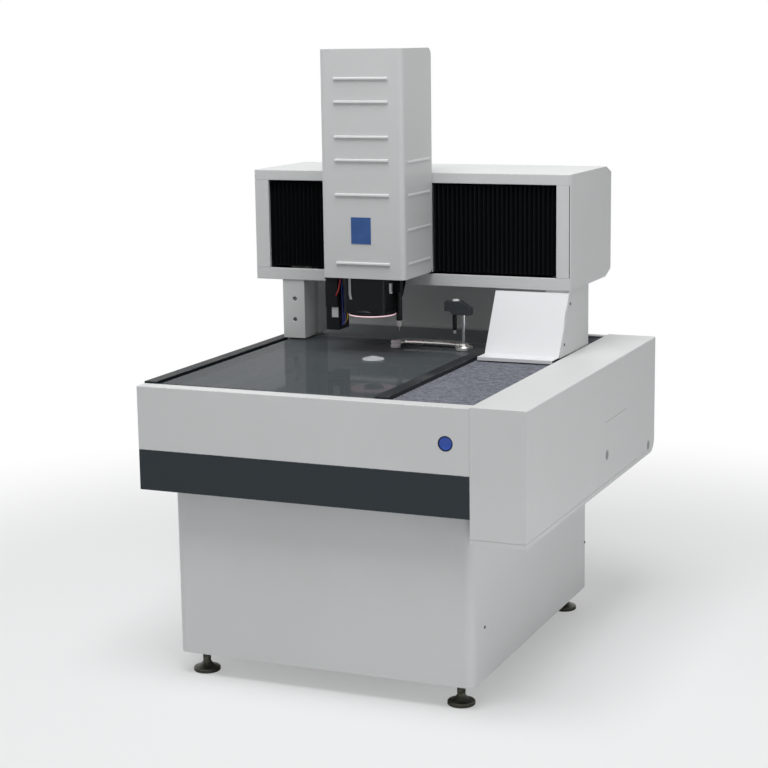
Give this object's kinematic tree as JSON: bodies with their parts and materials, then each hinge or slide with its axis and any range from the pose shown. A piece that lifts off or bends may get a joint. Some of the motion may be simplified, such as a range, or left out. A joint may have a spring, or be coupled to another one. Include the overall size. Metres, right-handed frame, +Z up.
{
  "type": "coordinate measuring machine",
  "caption": "Floor-standing moving-bridge measuring machine with a glass stage, a louvred column with an optics head and touch probe, and a cabinet pedestal.",
  "frame": {"origin": "on the floor under the middle of the machine's bounding box", "axes": "+Z up, operator at -Y, long side box on +X"},
  "size_m": [1.084, 1.16, 1.6],
  "materials": {
    "body_paint": "fine textured light grey powder coat",
    "band_paint": "dark blue-grey powder coat",
    "white_paint": "smooth near-white powder coat",
    "granite": "fine-ground dark granite",
    "guide_steel": "ground bearing steel",
    "magnet": "nickel-plated magnets on steel",
    "black_anodised": "black anodised aluminium",
    "aluminium": "machined aluminium",
    "zinc_steel": "yellow-grey zinc plate",
    "stage_glass": "polished dark tinted plate glass",
    "bellows_cloth": "matte black coated cloth",
    "cover_cloth": "woven blue-grey cloth",
    "blue_plastic": "satin blue moulding",
    "blue_enamel": "plain blue enamel",
    "black_plastic": "fine textured black moulding",
    "chrome": "hard chrome plate",
    "polished_steel": "polished stainless steel",
    "diffuser": "opal diffuser, lit",
    "condenser_glass": "clear glass, lit from below",
    "wire_sheath": "coloured cable sheath"
  },
  "bodies": {
    "base": {"pedestal_cabinet": "body_paint", "access_panel": "body_paint", "panel_screws": "zinc_steel", "leveling_feet": "zinc_steel", "table_tray": "band_paint", "front_cover": "body_paint", "left_cover": "body_paint", "rear_cover": "body_paint", "side_box": "body_paint", "side_box_plugs": "black_plastic", "granite_base": "granite", "y_guide_rails": "guide_steel", "y_magnet_track": "magnet", "stage_frame": "black_anodised", "stage_glass": "stage_glass", "stage_rail_left": "black_anodised", "stage_rail_right": "black_anodised", "rear_deck": "black_anodised", "rear_guard": "body_paint", "button_bezel": "black_plastic", "fixture_base": "polished_steel", "fixture_post": "chrome", "way_cover_front": "cover_cloth", "way_cover_rear": "cover_cloth"},
    "bridge": {"y_bearing_blocks": "guide_steel", "y_carriage_right": "aluminium", "y_carriage_left": "aluminium", "lower_beam": "black_anodised", "left_leg": "body_paint", "right_leg": "body_paint", "right_leg_cover": "body_paint", "holder_screws": "guide_steel", "document_holder": "white_paint", "bridge_beam": "aluminium", "bridge_top_cover": "body_paint", "bridge_bottom_cover": "body_paint", "bridge_end_cover_left": "body_paint", "bridge_end_cover_right": "body_paint", "bellows_left": "bellows_cloth", "bellows_right": "bellows_cloth", "x_guide_rails": "guide_steel"},
    "column": {"x_bearing_blocks": "guide_steel", "x_carriage": "body_paint", "column_cover": "body_paint", "badge_plate": "blue_enamel", "z_base_plate": "aluminium", "side_module": "black_plastic", "sensor_wires": "wire_sheath"},
    "optics": {"z_slide": "aluminium", "lens_housing": "black_anodised", "ring_light": "black_anodised", "ring_diffuser": "diffuser", "zoom_camera": "black_anodised", "touch_probe": "black_anodised"},
    "stylus": {"probe_stylus": "polished_steel"},
    "backlight": {"backlight_carriage": "black_anodised", "condenser_lens": "condenser_glass"},
    "button": {"front_button": "blue_plastic"},
    "clamp": {"clamp_arm": "black_plastic"},
    "plunger": {"clamp_plunger": "black_plastic"}
  },
  "joints": [
    {"name": "bridge_y", "type": "slide", "parent": "base", "child": "bridge", "axis": [0, -1, 0], "range_m": [0, 0.5], "deforming": ["way_cover_front", "way_cover_rear"]},
    {"name": "column_x", "type": "slide", "parent": "bridge", "child": "column", "axis": [1, 0, 0], "range_m": [-0.165, 0.2], "deforming": ["bellows_left", "bellows_right"]},
    {"name": "optics_z", "type": "slide", "parent": "column", "child": "optics", "axis": [0, 0, 1], "range_m": [-0.05, 0.09]},
    {"name": "stylus_z", "type": "slide", "parent": "optics", "child": "stylus", "axis": [0, 0, 1], "range_m": [0, 0.0025], "stiffness_N_per_m": 300, "springref_m": -0.002},
    {"name": "backlight_x", "type": "slide", "parent": "bridge", "child": "backlight", "axis": [1, 0, 0], "range_m": [-0.165, 0.2]},
    {"name": "button_press", "type": "slide", "parent": "base", "child": "button", "axis": [0, 1, 0], "range_m": [0, 0.003], "stiffness_N_per_m": 800, "springref_m": -0.002},
    {"name": "clamp_swing", "type": "hinge", "parent": "base", "child": "clamp", "pos_m": [0.104, 0.176, 0.89], "axis": [0, 0, 1], "range_deg": [-90, 0]},
    {"name": "plunger_z", "type": "slide", "parent": "clamp", "child": "plunger", "axis": [0, 0, 1], "range_m": [0, 0.016], "stiffness_N_per_m": 300, "springref_m": -0.005}
  ],
  "couplings": [
    {"joint": "backlight_x", "follows": "column_x", "ratio": 1}
  ]
}
